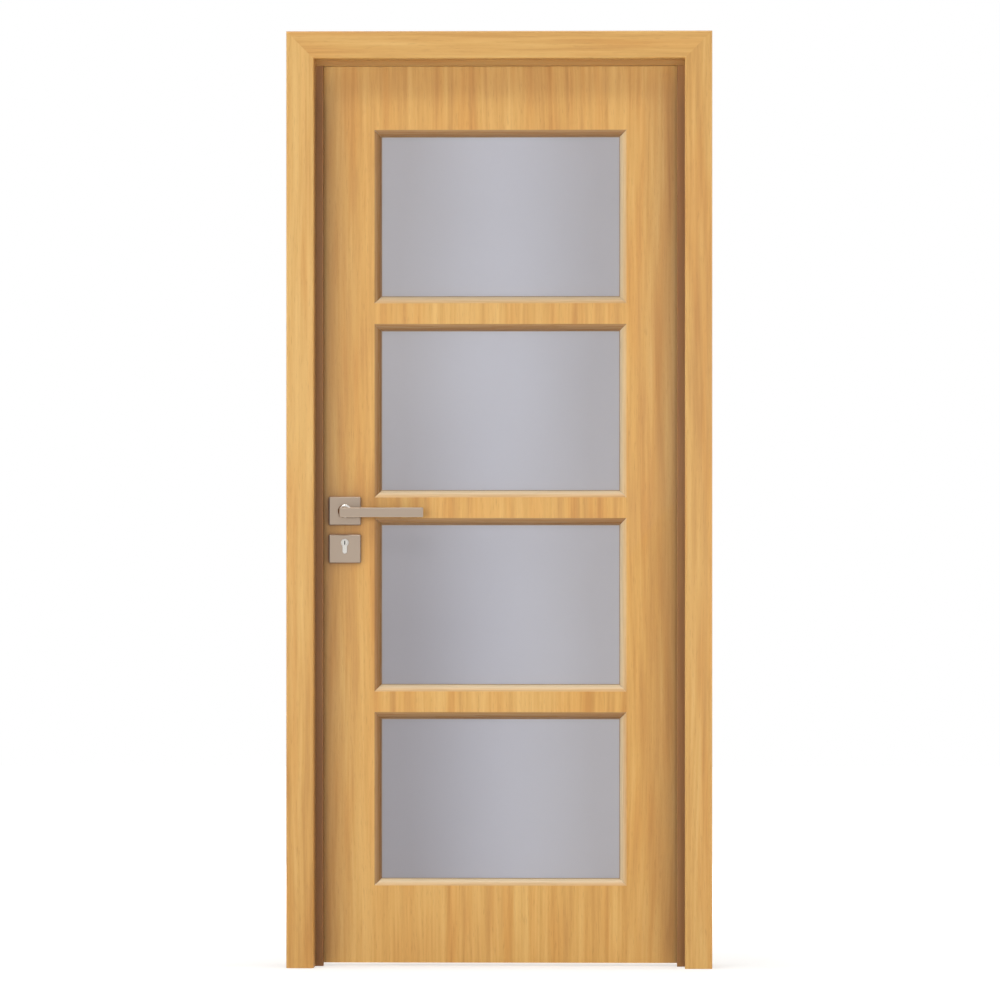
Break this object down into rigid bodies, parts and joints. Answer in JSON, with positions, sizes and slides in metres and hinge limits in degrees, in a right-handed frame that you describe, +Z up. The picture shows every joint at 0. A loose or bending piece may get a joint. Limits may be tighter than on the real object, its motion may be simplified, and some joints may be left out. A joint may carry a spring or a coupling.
{
  "type": "interior door",
  "caption": "Glazed oak-veneered interior door leaf hung on lift-off hinges in a lined frame with mitred casings, lever handles on square roses and a key cylinder.",
  "frame": {"origin": "floor level on the outer face of the hinge jamb, halfway through the depth of the wall", "axes": "+X out of the hinge jamb into the wall beside the door, +Y the way the leaf opens, +Z up"},
  "size_m": [0.961, 0.209, 2.1135],
  "materials": {
    "leaf_oak": "satin lacquered oak veneer, grain upright",
    "bead_oak": "satin lacquered oak moulding",
    "frame_oak": "satin lacquered oak veneer",
    "casing_oak": "satin lacquered oak veneer, grain along the board",
    "frosted_glass": "acid-etched, milky",
    "satin_nickel": "satin nickel plated",
    "satin_steel": "brushed steel"
  },
  "bodies": {
    "frame": {"hinge_jamb": "frame_oak", "lock_jamb": "frame_oak", "head_jamb": "frame_oak", "hinge_side_stop": "frame_oak", "lock_side_stop": "frame_oak", "head_stop": "frame_oak", "front_casing_lock_side": "casing_oak", "front_casing_hinge_side": "casing_oak", "front_casing_head": "casing_oak", "back_casing_lock_side": "casing_oak", "back_casing_hinge_side": "casing_oak", "back_casing_head": "casing_oak", "strike_plate": "satin_steel", "lower_hinge_frame_half": "satin_steel", "middle_hinge_frame_half": "satin_steel", "upper_hinge_frame_half": "satin_steel"},
    "leaf": {"hinge_stile": "leaf_oak", "lock_stile": "leaf_oak", "top_rail": "leaf_oak", "upper_rail": "leaf_oak", "lock_rail": "leaf_oak", "lower_rail": "leaf_oak", "bottom_rail": "leaf_oak", "front_skin": "leaf_oak", "back_skin": "leaf_oak", "top_glass": "frosted_glass", "upper_glass": "frosted_glass", "lower_glass": "frosted_glass", "bottom_glass": "frosted_glass", "top_beads": "bead_oak", "upper_beads": "bead_oak", "lower_beads": "bead_oak", "bottom_beads": "bead_oak", "lower_hinge_leaf_half": "satin_steel", "middle_hinge_leaf_half": "satin_steel", "upper_hinge_leaf_half": "satin_steel", "lock_faceplate": "satin_steel", "lock_bolts": "satin_steel", "key_cylinder": "satin_nickel", "front_lever_rose": "satin_nickel", "back_lever_rose": "satin_nickel", "front_key_rose": "satin_nickel", "back_key_rose": "satin_nickel"},
    "handle": {"front_lever": "satin_nickel", "back_lever": "satin_nickel"}
  },
  "joints": [
    {"name": "leaf_swing", "type": "hinge", "parent": "frame", "child": "leaf", "pos_m": [-0.03275, 0.079, 0], "axis": [0, 0, -1], "range_deg": [0, 170]},
    {"name": "lever_turn", "type": "hinge", "parent": "leaf", "child": "handle", "pos_m": [-0.8015, 0.05, 1.031], "axis": [0, 1, 0], "range_deg": [0, 40], "stiffness_Nm_per_rad": 2, "springref_deg": -28.65}
  ]
}
